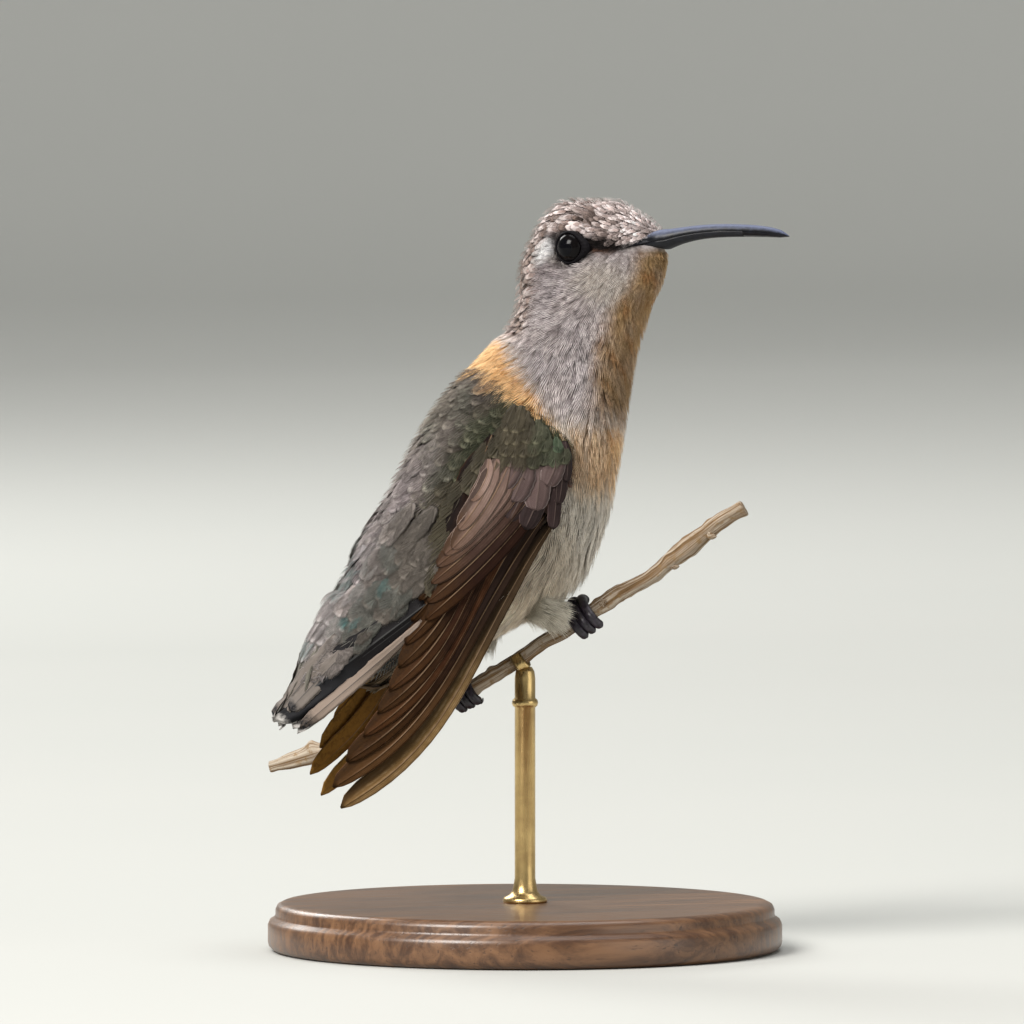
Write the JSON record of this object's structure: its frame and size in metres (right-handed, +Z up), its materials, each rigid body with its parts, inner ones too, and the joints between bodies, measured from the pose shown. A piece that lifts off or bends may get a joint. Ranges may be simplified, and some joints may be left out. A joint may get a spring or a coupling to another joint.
{
  "type": "perched hummingbird model",
  "caption": "Life-size still model of a perched hummingbird with a slim curved bill, wings folded, gripping a cut twig carried by a rod on a round base.",
  "frame": {"origin": "middle of the underside of the round stand base, directly under the rod", "axes": "+Z up; +X along the way the bird's trunk heads, in plan; -Y is the bird's right side"},
  "size_m": [0.0557, 0.054, 0.079],
  "materials": {
    "head_feathers": "scaly pinkish-grey and brown feathers",
    "neck_feathers": "silver-grey feathers with a buff throat stripe",
    "breast_feathers": "orange-buff and greyish-white feathers",
    "belly_feathers": "silky greyish-white feathers",
    "back_feathers": "grey-green feathers with hair-like barbs",
    "wing_feathers": "umber brown flight feathers with pale edges",
    "tail_feathers": "grey-green and black tail feathers, white tips",
    "bill_horn": "smooth black horn",
    "eye_gloss": "wet, glossy near-black",
    "foot_scales": "purplish-black scaly skin",
    "twig_bark": "dry grey-ochre bark",
    "base_wood": "waxed dark wood",
    "rod_brass": "satin brass"
  },
  "bodies": {
    "root": {"head": "head_feathers", "neck": "neck_feathers", "breast": "breast_feathers", "belly": "belly_feathers", "rump": "back_feathers", "thigh_right": "belly_feathers", "thigh_left": "belly_feathers", "wing_right": "wing_feathers", "wing_left": "wing_feathers", "primaries_right": "wing_feathers", "primaries_left": "wing_feathers", "tail": "tail_feathers", "bill_upper": "bill_horn", "bill_lower": "bill_horn", "eye_right": "eye_gloss", "eye_left": "eye_gloss", "shank_right": "foot_scales", "shank_left": "foot_scales", "foot_right": "foot_scales", "foot_left": "foot_scales", "perch": "twig_bark", "stand_base": "base_wood", "stand_rod": "rod_brass"}
  },
  "joints": []
}
